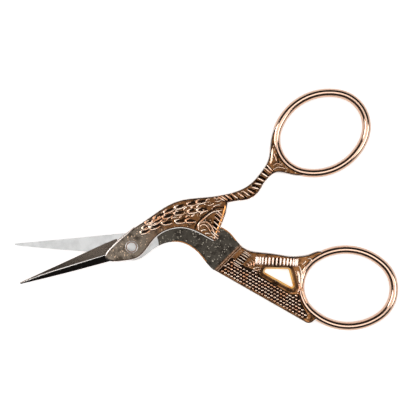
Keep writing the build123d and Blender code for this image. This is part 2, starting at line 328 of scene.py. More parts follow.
@dataclass(frozen=True)
class Metal:
    """A metal finish.

    Attributes:
        name: The material's name.
        colour: Colour of the clean metal.
        shade: Colour of what has settled on it, and in hollows with a depth also their painted shade.
        gloss: Roughness of the clean metal.
        clouds: How strongly the shade shows.
        grain: How strongly it is brushed.
        grain_stretch: Brush lines per millimetre along each axis.
        speckle: How strongly bright flakes show.
        flake: Colour of the flakes.
        deep: Heights between which it clears from the painted shade of its hollows, in millimetres.
        flank: Colour of its steep sides, a painted shade where they turn away from the light above.
        beyond: What it turns to further along.
        wear: How clouds, grain and flakes lie.
    """

    name: str
    colour: Colour
    shade: Colour
    gloss: float
    clouds: float = 0.5
    grain: float = 0.0
    grain_stretch: tuple[float, float, float] = (1.0, 1.0, 1.0)
    speckle: float = 0.0
    flake: Colour = (0.85, 0.60, 0.42)
    deep: tuple[float, float] | None = None
    flank: Colour | None = None
    beyond: Beyond | None = None
    wear: Wear = Wear()

    def tint(self, board: Board, spot: Signal, stain: Signal) -> Signal:
        """Works out the metal's colour.

        Args:
            board: The material's board.
            spot: Coordinates in millimetres.
            stain: How much has settled.

        Returns:
            The colour.
        """
        wear, plain, shade = self.wear, self.colour, self.shade
        if self.beyond:
            past = board.axes(spot)[0].above(self.beyond.place, self.beyond.width)
            plain = board.blend(past, plain, self.beyond.colour)
            shade = board.blend(past, shade, self.beyond.shade)
        colour = board.blend(stain, plain, shade)
        if self.speckle:
            cell = {"Vector": spot, "Scale": wear.flake_scale}
            flakes = board.make("ShaderNodeTexVoronoi", {"feature": "F1"}, cell).below(*wear.flake_edge)
            patches = board.noise(spot, wear.patch_scale, wear.patch_detail).above(*wear.patch_edge)
            colour = board.blend(flakes * patches * self.speckle, colour, self.flake)
        # Hollows turn to the shade colour towards their floor: painted shade, with some tarnish settled
        # there
        if self.deep:
            low, high = self.deep
            clear = board.axes(spot)[2].above((low + high) / 2, high - low)
            colour = board.blend(clear, self.shade, colour)
        # Steep sides take the flank colour: painted shade where they turn away from the light above
        if self.flank:
            facing = board.axes(board.make("ShaderNodeNewGeometry", out="Normal"))[2]
            colour = board.blend(facing.above(*wear.flank_edge), self.flank, colour)
        return colour

    def dress(self) -> bpy.types.Material:
        """Makes the finish as a material.

        Returns:
            The material.
        """
        material = bpy.data.materials.new(self.name)
        material.use_nodes = True
        board, wear = Board(material.node_tree), self.wear
        spot = board.place()
        cloud = board.noise(spot, wear.cloud_scale, wear.detail)
        fine = board.noise(spot, wear.fine_scale, wear.detail)
        mottle = cloud * wear.cloud_share + fine * (1 - wear.cloud_share)
        stain = mottle.above(*wear.cloud_edge) * self.clouds
        brushed = board.noise(board.place(self.grain_stretch), 1.0, wear.grain_detail, wear.grain_strength)
        dull = self.gloss + (fine - 0.5) * wear.fine_dulling + brushed * (wear.grain_dulling * self.grain)
        height = brushed * (wear.grain_height * self.grain) + fine * wear.fine_height
        relief = {"Strength": wear.bump_strength, "Distance": wear.bump_distance * MM, "Height": height}
        inputs = {
            "Base Color": self.tint(board, spot, stain),
            "Metallic": 1.0,
            "Roughness": dull + stain * wear.stain_dulling,
            "Normal": board.make("ShaderNodeBump", {}, relief),
        }
        shader = board.make("ShaderNodeBsdfPrincipled", {}, inputs)
        board.make("ShaderNodeOutputMaterial", {}, {"Surface": shader})
        return material


class Finish(Enum):
    """Every finish on the scissors."""

    PLATE = Metal("rose_gold_plate", (0.84, 0.50, 0.30), (0.52, 0.23, 0.09), 0.06, clouds=0.4)
    # Bevels and the blade's ridge: a near-white copy of the plate, a painted highlight
    BEVEL = Metal("polished_bevel", (0.96, 0.92, 0.89), (0.90, 0.74, 0.64), 0.1, clouds=0.4)
    # The head's brow line: a pale painted highlight
    BROW = Metal("grey_pink_bevel", (0.96, 0.86, 0.80), (0.75, 0.60, 0.52), 0.22, clouds=0.5)
    # Raised lines and studs: a pale copy of the plate, painted highlight on their tops, and painted shade
    # on their steep flanks
    CREST = Metal(
        "polished_crest",
        (1.0, 0.78, 0.62),
        (0.80, 0.32, 0.12),
        0.21,
        clouds=0.8,
        flank=(0.42, 0.13, 0.03),
    )
    # The bar's ribs: painted highlight on their tops and painted shade on their steep flanks
    RIB = Metal(
        "polished_rib",
        (1.0, 0.84, 0.76),
        (0.86, 0.50, 0.33),
        0.24,
        clouds=0.6,
        flank=(0.36, 0.16, 0.09),
    )
    # Carved hollows: darker towards their floor, a painted shade with some tarnish settled there
    RELIEF = Metal(
        "carved_relief",
        (0.66, 0.30, 0.12),
        (0.015, 0.008, 0.005),
        0.26,
        clouds=0.2,
        deep=(2.42, 2.60),
    )
    # The window's walls: a saturated gold, painted light bounced back and forth off the plating
    GOLD = Metal("golden_wall", (0.90, 0.52, 0.12), (0.55, 0.28, 0.06), 0.2, clouds=0.5)
    RIM = Metal("orange_rim", (0.88, 0.40, 0.14), (0.50, 0.20, 0.06), 0.24, clouds=0.6)
    # A dark line: on the bevels' upper strip it is a painted dark reflection
    OUTLINE = Metal("smoked_line", (0.10, 0.045, 0.02), (0.03, 0.015, 0.008), 0.25, clouds=0.8)
    # Flat tops: a dark colour painted for the dark they mirror from straight above, with the plating's own
    # clouds and flakes; past the head it turns to a darker copper-brown
    FLAT = Metal(
        "smoked_flat",
        (0.28, 0.225, 0.175),
        (0.06, 0.046, 0.034),
        0.17,
        clouds=1.0,
        speckle=0.8,
        beyond=Beyond(6.0, 6.0, (0.38, 0.165, 0.06), (0.025, 0.012, 0.006)),
    )
    # The back neck's flats: a near-black painted reflection of the dark straight above, with flakes of its
    # own
    SMOKED = Metal(
        "smoked_neck",
        (0.12, 0.105, 0.085),
        (0.03, 0.025, 0.02),
        0.17,
        clouds=1.0,
        speckle=0.9,
        flake=(0.55, 0.49, 0.40),
    )
    STEEL = Metal(
        "ground_steel",
        (0.66, 0.66, 0.655),
        (0.52, 0.52, 0.515),
        0.28,
        grain=1.0,
        grain_stretch=(9.0, 0.7, 0.7),
    )
    # Ground steel painted dimmer for faces that catch less light: the front blade and the back blade's
    # sides
    DARK_STEEL = Metal(
        "dark_steel",
        (0.46, 0.37, 0.30),
        (0.22, 0.16, 0.12),
        0.22,
        grain=0.8,
        grain_stretch=(0.5, 7.0, 0.7),
    )
    # Ground steel painted near black, a painted shade on the front blade's faces that turn down and away
    BLACK_STEEL = Metal(
        "black_steel",
        (0.06, 0.05, 0.045),
        (0.02, 0.017, 0.015),
        0.24,
        grain=0.8,
        grain_stretch=(0.5, 7.0, 0.7),
    )
    SCREW = Metal(
        "screw_steel",
        (0.62, 0.61, 0.59),
        (0.46, 0.45, 0.43),
        0.3,
        grain=0.6,
        grain_stretch=(8.0, 0.8, 8.0),
    )

    def material(self) -> bpy.types.Material:
        """The finish's material, made once."""
        return bpy.data.materials.get(self.value.name) or self.value.dress()


def smooth(
    points: Sequence[Sequence[float]], step: float = LINE_STEP, closed: bool = False
) -> list[Vector]:
    """Draws a smooth line through points.

    Args:
        points: The points, in millimetres.
        step: Rough distance between the points that come back.
        closed: Whether the line runs back to its first point.

    Returns:
        Evenly spread points along the line.
    """
    knots = [Vector((*point, 0.0)[:3]) for point in points]
    ends = [knots[-1], *knots, knots[0], knots[1]] if closed else [knots[0], *knots, knots[-1]]
    line = []
    for before, start, stop, after in zip(ends, ends[1:], ends[2:], ends[3:]):
        count = max(2, round((stop - start).length / step))
        for k in range(count):
            t = k / count
            bend = (stop - before) * t + (2 * before - 5 * start + 4 * stop - after) * t**2
            line.append(start + 0.5 * (bend + (3 * start - before - 3 * stop + after) * t**3))
    return line if closed else [*line, knots[-1]]


def along_row(points: Sequence[Sequence[float]], shares: Iterable[float]) -> list[tuple[Vector, float]]:
    """Finds places along a smooth line.

    Args:
        points: The line's points.
        shares: Shares of its length.

    Returns:
        Each place with the line's direction there.
    """
    line = smooth(points, PLACE_STEP)
    places = []
    for share in shares:
        index = min(len(line) - 2, max(0, round(share * (len(line) - 1))))
        way = line[index + 1] - line[index]
        overshoot = share * (len(line) - 1) - index
        places.append((line[index] + way * overshoot, math.atan2(way.y, way.x)))
    return places


@dataclass(frozen=True)
class Raised:
    """A raised line of metal, given along a half's own axes in millimetres.

    Attributes:
        points: The points that it runs through, each with its own height where it has a third number.
        width: Its width.
        height: Height of its middle where its points have none.
        closed: Whether it runs back to its first point.
    """

    points: tuple
    width: float
    height: float = PLATE_TOP
    closed: bool = False

    def moved(self, place: Vector, angle: float) -> "Raised":
        """The same line set down elsewhere.

        Args:
            place: Where its zero point goes.
            angle: How far it is turned.

        Returns:
            The moved line.
        """
        turn = Matrix.Rotation(angle, 4, "Z")
        spots = tuple(tuple((place + turn @ Vector((*point, 0.0)[:3])).xy) for point in self.points)
        return Raised(spots, self.width, self.height, self.closed)


@dataclass(frozen=True)
class Profile:
    """How the raised lines of a piece are shaped and dressed.

    Attributes:
        finish: Their finish.
        flatness: The section's height, of its width.
        taper: How far the ends thin out, from 0 to 1.
        sides: Faces round the section.
    """

    finish: Finish = Finish.CREST
    flatness: float = 0.6
    taper: float = 0.75
    sides: int = 8


@dataclass(frozen=True)
class Stud:
    """The shape of a piece's rounded studs.

    Attributes:
        width: Their width, in millimetres.
        flatness: Their height, of their width.
        spread: How far their widths differ, of their width.
        seed: Seed of those differences.
        finish: Their finish.
    """

    width: float
    flatness: float
    spread: float = 0.12
    seed: int = 5
    finish: Finish = Finish.CREST


class Carver:
    """Raises lines and studs with Geometry Nodes, and hands back plain meshes."""

    BALL_SEGMENTS = 8
    BALL_RINGS = 6

    def __init__(self) -> None:
        """Builds both trees."""
        self.line_tree = self._line_tree()
        self.stud_tree = self._stud_tree()

    @staticmethod
    def _new_tree(name: str, sizes: dict[str, str]) -> tuple[Board, dict[str, Signal]]:
        """Starts a tree.

        Args:
            name: The tree's name.
            sizes: Names and kinds of its inputs after the geometry.

        Returns:
            The board, and the group's inputs by name.
        """
        tree = bpy.data.node_groups.new(name, "GeometryNodeTree")
        board = Board(tree)
        tree.interface.new_socket("Geometry", in_out="INPUT", socket_type="NodeSocketGeometry")
        for size, kind in sizes.items():
            tree.interface.new_socket(size, in_out="INPUT", socket_type=kind)
        tree.interface.new_socket("Geometry", in_out="OUTPUT", socket_type="NodeSocketGeometry")
        node = board.make("NodeGroupInput").socket.node
        return board, {socket.name: Signal(board, socket) for socket in node.outputs if socket.name}

    @staticmethod
    def _finish_tree(board: Board, shape: Signal, finish: Signal) -> bpy.types.NodeTree:
        """Ends a tree with plain, smooth, dressed geometry.

        Args:
            board: The tree's board.
            shape: What it has made.
            finish: The material input.

        Returns:
            The tree.
        """
        real = board.make("GeometryNodeRealizeInstances", {}, {"Geometry": shape})
        even = board.make("GeometryNodeSetShadeSmooth", {}, {"Geometry": real, "Shade Smooth": True})
        dressed = board.make("GeometryNodeSetMaterial", {}, {"Geometry": even, "Material": finish})
        board.make("NodeGroupOutput", {}, {"Geometry": dressed})
        return board.tree

    def _line_tree(self) -> bpy.types.NodeTree:
        """Sweeps a flattened round section along lines, thinner towards their ends.

        Returns:
            The tree.
        """
        sizes = {
            "Sides": "NodeSocketInt",
            "Flatness": "NodeSocketFloat",
            "Taper": "NodeSocketFloat",
            "Finish": "NodeSocketMaterial",
        }
        board, given = self._new_tree("raised_lines", sizes)
        line = board.make("GeometryNodeMeshToCurve", {}, {"Mesh": given["Geometry"]})
        level = board.make("GeometryNodeSetCurveNormal", {"mode": "Z_UP"}, {"Curve": line})
        # The width follows a half ellipse along the line, full in its middle and thinned at its ends
        share = board.make("GeometryNodeSplineParameter", out="Factor")
        middle = share * (1 - share) * 4
        full = board.make("ShaderNodeMath", {"operation": "SQRT"}, {0: middle})
        named = {"data_type": "FLOAT"}
        width = board.make("GeometryNodeInputNamedAttribute", named, {"Name": "width"})
        radius = width * 0.5 * (1 - given["Taper"] * (1 - full))
        round_section = {"Resolution": given["Sides"], "Radius": 1.0}
        ring = board.make("GeometryNodeCurvePrimitiveCircle", {}, round_section)
        squash = board.make("ShaderNodeCombineXYZ", {}, {0: 1.0, 1: given["Flatness"], 2: 1.0})
        section = board.make("GeometryNodeTransform", {}, {"Geometry": ring, "Scale": squash})
        sweep = {"Curve": level, "Profile Curve": section, "Scale": radius, "Fill Caps": True}
        swept = board.make("GeometryNodeCurveToMesh", {}, sweep)
        return self._finish_tree(board, swept, given["Finish"])

    def _stud_tree(self) -> bpy.types.NodeTree:
        """Sets a rounded stud on every point, each a little different.

        Returns:
            The tree.
        """
        sizes = {
            "Width": "NodeSocketFloat",
            "Flatness": "NodeSocketFloat",
            "Spread": "NodeSocketFloat",
            "Seed": "NodeSocketInt",
            "Finish": "NodeSocketMaterial",
        }
        board, given = self._new_tree("rounded_studs", sizes)
        unit_ball = {"Segments": self.BALL_SEGMENTS, "Rings": self.BALL_RINGS, "Radius": 0.5}
        ball = board.make("GeometryNodeMeshUVSphere", {}, unit_ball)
        # A Random Value node's inputs 2 and 3 are its least and greatest number, and output 1 is the draw
        chance = {2: 1 - given["Spread"], 3: 1 + given["Spread"], "Seed": given["Seed"]}
        size = board.make("FunctionNodeRandomValue", {"data_type": "FLOAT"}, chance, 1) * given["Width"]
        height = given["Width"] * given["Flatness"]
        scale = board.make("ShaderNodeCombineXYZ", {}, {0: size, 1: size, 2: height})
        points = board.make("GeometryNodeMeshToPoints", {}, {"Mesh": given["Geometry"]})
        placed = {"Points": points, "Instance": ball, "Scale": scale}
        studs = board.make("GeometryNodeInstanceOnPoints", {}, placed)
        return self._finish_tree(board, studs, given["Finish"])

    @staticmethod
    def _grow(
        name: str, half: Half, mesh: bpy.types.Mesh, tree: bpy.types.NodeTree, sizes: dict
    ) -> bpy.types.Object:
        """Runs a tree on a mesh and keeps the result as a piece of a half.

        Args:
            name: The piece's name.
            half: The half that it belongs to.
            mesh: The points or lines to start from.
            tree: The tree.
            sizes: Values of the tree's named inputs.

        Returns:
            The piece.
        """
        mesh.transform(Matrix.Rotation(half.turn, 4, "Z") @ Matrix.Scale(MM, 4))
        piece = bpy.data.objects.new(name, mesh)
        bpy.context.scene.collection.objects.link(piece)
        modifier = piece.modifiers.new("grow", "NODES")
        modifier.node_group = tree
        for item in tree.interface.items_tree:
            if item.name in sizes:
                modifier[item.identifier] = sizes[item.name]
        graph = bpy.context.evaluated_depsgraph_get()
        grown = bpy.data.meshes.new_from_object(piece.evaluated_get(graph), depsgraph=graph)
        piece.modifiers.remove(modifier)
        piece.data = grown
        grown.name = name
        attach(piece, half.body)
        LOG.info("%s: %d faces", name, len(grown.polygons))
        return piece

    def raise_lines(
        self, name: str, half: Half, lines: Iterable[Raised], profile: Profile
    ) -> bpy.types.Object:
        """Makes one piece of any number of raised lines.

        Args:
            name: The piece's name.
            half: The half that it belongs to.
            lines: The lines.
            profile: How they are shaped and dressed.

        Returns:
            The piece.
        """
        spots, edges, widths = [], [], []
        for line in lines:
            first = len(spots)
            path = smooth(line.points, closed=line.closed)
            spots += [(spot.x, spot.y, spot.z if spot.z else line.height) for spot in path]
            widths += [line.width * MM] * len(path)
            edges += [(k, k + 1) for k in range(first, len(spots) - 1)]
            if line.closed:
                edges.append((len(spots) - 1, first))
        mesh = bpy.data.meshes.new(name)
        mesh.from_pydata(spots, edges, [])
        mesh.attributes.new("width", "FLOAT", "POINT").data.foreach_set("value", widths)
        sizes = {
            "Sides": profile.sides,
            "Flatness": profile.flatness,
            "Taper": profile.taper,
            "Finish": profile.finish.material(),
        }
        return self._grow(name, half, mesh, self.line_tree, sizes)

    def set_studs(
        self, name: str, half: Half, places: Sequence[tuple[float, float, float]], stud: Stud
    ) -> bpy.types.Object:
        """Makes one piece of many rounded studs.

        Args:
            name: The piece's name.
            half: The half that it belongs to.
            places: Their middles, in millimetres.
            stud: Their shape.

        Returns:
            The piece.
        """
        mesh = bpy.data.meshes.new(name)
        mesh.from_pydata(places, [], [])
        sizes = {
            "Width": stud.width * MM,
            "Flatness": stud.flatness,
            "Spread": stud.spread,
            "Seed": stud.seed,
            "Finish": stud.finish.material(),
        }
        return self._grow(name, half, mesh, self.stud_tree, sizes)


@dataclass
class FingerRing:
    """A ring of round wire, bent to an oval of four arcs.

    Attributes:
        half: The half that it ends.
        middle: The oval's middle, in millimetres.
        tilt: Angle of its length from the half's own, in degrees.
        bore: Length and width of the opening, in millimetres.
        wire: Width of the wire seen from above, in millimetres.
        thickness: Height of the wire, in millimetres.
        steps: Points along each arc.
        sides: Faces round the wire.
    """

    half: Half
    middle: tuple[float, float]
    tilt: float
    bore: tuple[float, float] = (20.5, 16.3)
    wire: float = 2.1
    thickness: float = PLATE_TOP - REST_FACE
    steps: int = 56
    sides: int = 40

    def path(self) -> tuple:
        """Works out the wire's centre line.

        Returns:
            Points along it, in millimetres.
        """
        long, short = ((size + self.wire) / 2 for size in self.bore)
        diagonal = math.hypot(long, short)
        cut = (diagonal - long + short) / 2
        end_radius = cut * diagonal / long
        side_radius = (diagonal - cut) * diagonal / short
        end_offset, side_offset = long - end_radius, side_radius - short
        join = math.atan2(side_offset, end_offset)
        turn = Matrix.Rotation(math.radians(self.tilt), 2)
        spots = []
        for side in (1, -1):
            end_arc = ((side * end_offset, 0), end_radius, -join, join)
            side_arc = ((0, -side * side_offset), side_radius, join, math.pi - join)
            for middle, radius, start, stop in (end_arc, side_arc):
                for k in range(self.steps):
                    angle = start + (stop - start) * k / self.steps + (0 if side > 0 else math.pi)
                    spot = Vector(middle) + radius * Vector((math.cos(angle), math.sin(angle)))
                    spots.append(tuple(Vector(self.middle) + turn @ spot))
        return tuple(spots)

    def build(self, carver: Carver) -> None:
        """Sweeps the wire.

        Args:
            carver: Makes swept lines.
        """
        wire = Raised(self.path(), self.wire, REST_FACE + self.thickness / 2, closed=True)
        profile = Profile(Finish.PLATE, self.thickness / self.wire, taper=0.0, sides=self.sides)
        carver.raise_lines(f"{self.half.body}_finger_ring", self.half, [wire], profile)


@dataclass
class FrontRelief:
    """Feathers, wing and ribs that stand up on the front half.

    Places and lengths are in millimetres along the half's own axes. A spread is the range of a random draw.
    """

    # Rows of feathers, each with how many it has, and the curled rim round one
    rows: tuple = (
        (6, ((6.3, 4.4), (12.3, 5.6), (19.5, 5.1))),
        (6, ((5.2, 3.5), (11.5, 4.34), (19.1, 3.15))),
        (5, ((4.4, 2.6), (9.5, 2.94), (15.7, 1.5))),
    )
    feather_rim: tuple = (
        (-0.35, 0.42),
        (-0.98, 0.42),
        (-1.38, 0.10),
        (-1.25, -0.34),
        (-0.55, -0.52),
        (0.40, -0.52),
        (1.15, -0.36),
    )
    rim_width: float = 0.58
    rim_reach_spread: tuple[float, float] = (0.92, 1.05)
    rim_rise_spread: tuple[float, float] = (0.9, 1.1)
    rim_width_spread: tuple[float, float] = (0.85, 1.15)
    rim_turn_spread: tuple[float, float] = (-0.06, 0.06)
    feather_profile: Profile = Profile(flatness=0.35)

    # Short strokes between the rows
    quills_each: float = 1.5
    quill_start: float = 0.3
    quill_back: float = 0.4
    quill_reach_spread: tuple[float, float] = (0.4, 0.65)
    quill_rise_spread: tuple[float, float] = (0.12, 0.3)
    quill_width_spread: tuple[float, float] = (0.6, 0.85)
    quill_turn_spread: tuple[float, float] = (-0.2, 0.5)
    quill_bend: float = -0.1
    quill_bend_share: float = 0.4
    quill_end_share: float = 0.8

    # Ribs across the leg
    leg_row: tuple = ((24.4, 4.2), (31.2, 3.55), (34.3, 5.32), (37.2, 7.28))
    leg_grooves: int = 12
    leg_leans: tuple[float, float] = (-45.0, -100.0)
    rib_length: float = 2.0
    rib_width: float = 0.74
    rib_profile: Profile = Profile(flatness=0.3)

    # Barbs and lines of the wing, and its orange edge
    barb_row: tuple = ((22.6, 0.7), (21.2, -1.4), (19.9, -3.5))
    barb_grooves: int = 6
    barb_lean: float = 66.0
    barb_length: float = 2.3
    barb_width: float = 0.6
    barb_bow: float = 0.12
    wing_line_width: float = 0.54
    wing_profile: Profile = Profile(flatness=0.38)
    wing_lines: tuple = (
        ((16.55, -1.2), (16.95, 0.0), (18.6, 0.92), (21.0, 1.78), (23.6, 1.5)),
        ((17.6, 0.35), (19.0, 0.0), (19.75, -1.4), (19.85, -3.2), (19.5, -4.5)),
        ((17.15, -0.5), (18.2, -0.35), (18.9, -1.3), (19.1, -2.6)),
        ((17.0, -1.7), (17.8, -1.55), (18.5, -1.9)),
        ((17.7, -2.6), (18.3, -2.6), (18.9, -3.1)),
        ((18.5, -3.5), (19.0, -3.7), (19.3, -4.2)),
    )
    wing_edge: tuple = (
        (24.5, 2.3),
        (24.15, 1.68),
        (23.05, 0.1),
        (21.87, -1.34),
        (20.38, -3.12),
        (19.5, -4.2),
    )
    wing_edge_width: float = 0.4
    wing_edge_profile: Profile = Profile(Finish.RIM, flatness=0.44, taper=0.3)

    # Scrolls and beads at the shoulder and at the ring's root
    shoulder_lines: tuple = (
        ((20.3, 3.9), (21.1, 3.5), (22.0, 3.8)),
        ((21.6, 2.9), (22.6, 3.1), (23.5, 2.8)),
        ((20.4, 4.6), (20.7, 5.05), (21.5, 5.1)),
        ((22.3, 4.9), (23.0, 4.5), (23.9, 4.6)),
        ((22.3, 4.1), (23.1, 3.8), (24.0, 3.9)),
        ((18.1, 2.2), (18.9, 2.5), (19.8, 2.6)),
    )
    root_lines: tuple = (
        ((37.9, 8.3), (38.5, 9.3), (39.0, 10.4), (39.7, 11.9)),
        ((38.2, 6.8), (39.2, 7.1), (40.2, 6.7), (41.4, 5.9)),
        ((38.5, 7.8), (39.4, 8.0), (40.1, 7.6), (40.7, 6.9)),
        ((39.4, 8.5), (39.6, 9.4), (39.6, 10.5)),
    )
    scroll_width: float = 0.46
    scroll_profile: Profile = Profile(flatness=0.46)
    beads: tuple = ((22.7, 4.95), (19.9, 4.2), (20.9, 4.4), (19.2, 2.9), (21.2, 2.6), (17.4, 3.9))
    bead: Stud = Stud(width=0.45, flatness=0.45)
    bead_sink: float = 0.05

    # Lines of the blade and the head; the ridge and the brow are pale lines of painted highlight
    ridge: tuple = ((-27.9, 0.2, 1.67), (-21.9, 0.44, 1.94), (-15.0, 0.35, 2.12), (-6.4, 0.15, 2.31))
    ridge_width: float = 0.32
    ridge_profile: Profile = Profile(Finish.BEVEL, flatness=0.3)
    brow: tuple = ((-6.6, -0.1), (-5.6, 0.75), (-4.3, 1.45), (-2.0, 2.55), (0.0, 3.35), (2.2, 4.35))
    brow_width: float = 0.55
    brow_sink: float = 0.05
    brow_profile: Profile = Profile(Finish.BROW, flatness=0.4)
    eye_radius: float = 1.42
    eye_points: int = 12
    eye_width: float = 0.26
    eye_sink: float = 0.09
    eye_profile: Profile = Profile(Finish.SCREW, flatness=0.5, taper=0.0)
    seed: int = 11

    def feathers(self) -> list[Raised]:
        """Sets a curled rim round every feather hollow.

        Returns:
            The rims.
        """
        chance = random.Random(self.seed)
        rims = []
        for count, row in self.rows:
            for place, angle in along_row(row, [k / (count - 1) for k in range(count)]):
                rim = tuple(
                    (x * chance.uniform(*self.rim_reach_spread), y * chance.uniform(*self.rim_rise_spread))
                    for x, y in self.feather_rim
                )
                width = self.rim_width * chance.uniform(*self.rim_width_spread)
                turn = chance.uniform(*self.rim_turn_spread)
                rims.append(Raised(rim, width).moved(place, angle + turn))
        return rims + self.quills(chance)

    def quills(self, chance: random.Random) -> list[Raised]:
        """Sets short slanting strokes between the rows of feathers.

        Args:
            chance: Random draws.

        Returns:
            The strokes.
        """
        strokes = []
        for (count, upper), (_, lower) in zip(self.rows, self.rows[1:]):
            middle = [
                ((a[0] + b[0]) / 2 - self.quill_back, (a[1] + b[1]) / 2) for a, b in zip(upper, lower)
            ]
            number = round(count * self.quills_each)
            shares = [(k + self.quill_start) / count / self.quills_each for k in range(number)]
            for place, angle in along_row(middle, shares):
                reach = chance.uniform(*self.quill_reach_spread)
                rise = chance.uniform(*self.quill_rise_spread)
                bend = (self.quill_bend, rise * self.quill_bend_share)
                line = ((-reach, -rise), bend, (reach, rise * self.quill_end_share))
                width = self.rim_width * chance.uniform(*self.quill_width_spread)
                turn = chance.uniform(*self.quill_turn_spread)
                strokes.append(Raised(line, width).moved(place, angle + turn))
        return strokes

    def ribs(self) -> list[Raised]:
        """Puts a rounded rib between each two grooves of the leg.

        Returns:
            The ribs.
        """
        first, last = self.leg_leans
        shares = [(k + 0.5) / (self.leg_grooves - 1) for k in range(-1, self.leg_grooves)]
        bar = Raised(((-self.rib_length / 2, 0.0), (self.rib_length / 2, 0.0)), self.rib_width)
        return [
            bar.moved(place, angle + math.radians(first + (last - first) * share**2))
            for share, (place, angle) in zip(shares, along_row(self.leg_row, shares))
        ]

    def barbs(self) -> list[Raised]:
        """Puts a raised barb between each two grooves of the wing.

        Returns:
            The barbs.
        """
        shares = [(k + 0.5) / (self.barb_grooves - 1) for k in range(-1, self.barb_grooves)]
        reach, lean = self.barb_length / 2, math.radians(self.barb_lean)
        bar = Raised(((-reach, self.barb_bow), (0.0, 0.0), (reach, -self.barb_bow)), self.barb_width)
        return [bar.moved(place, angle + lean) for place, angle in along_row(self.barb_row, shares)]

    def eye_rim(self) -> Raised:
        """Draws a ring round the eye.

        Returns:
            The ring.
        """
        angles = [2 * math.pi * k / self.eye_points for k in range(self.eye_points)]
        points = tuple((self.eye_radius * math.cos(a), self.eye_radius * math.sin(a)) for a in angles)
        return Raised(points, self.eye_width, PLATE_TOP - self.eye_sink, closed=True)

    def build(self, carver: Carver) -> None:
        """Builds the relief.

        Args:
            carver: Makes raised lines and studs.
        """
        half = Half.FRONT
        wing = [Raised(line, self.wing_line_width) for line in self.wing_lines]
        edge = Raised(self.wing_edge, self.wing_edge_width)
        scrolls = [Raised(line, self.scroll_width) for line in (*self.shoulder_lines, *self.root_lines)]
        ridge = Raised(self.ridge, self.ridge_width)
        brow = Raised(self.brow, self.brow_width, PLATE_TOP - self.brow_sink)
        carver.raise_lines("neck_feathers", half, self.feathers(), self.feather_profile)
        carver.raise_lines("leg_ribs", half, self.ribs(), self.rib_profile)
        carver.raise_lines("wing_barbs", half, [*self.barbs(), *wing], self.wing_profile)
        carver.raise_lines("wing_edge_line", half, [edge], self.wing_edge_profile)
        carver.raise_lines("small_scrolls", half, scrolls, self.scroll_profile)
        # The ridge is a pale raised line of painted highlight
        carver.raise_lines("blade_ridge", half, [ridge], self.ridge_profile)
        # The brow is a pale raised line of painted highlight
        carver.raise_lines("brow_line", half, [brow], self.brow_profile)
        carver.raise_lines("eye_rim", half, [self.eye_rim()], self.eye_profile)
        places = [(x, y, PLATE_TOP - self.bead_sink) for x, y in self.beads]
        carver.set_studs("neck_beads", half, places, self.bead)


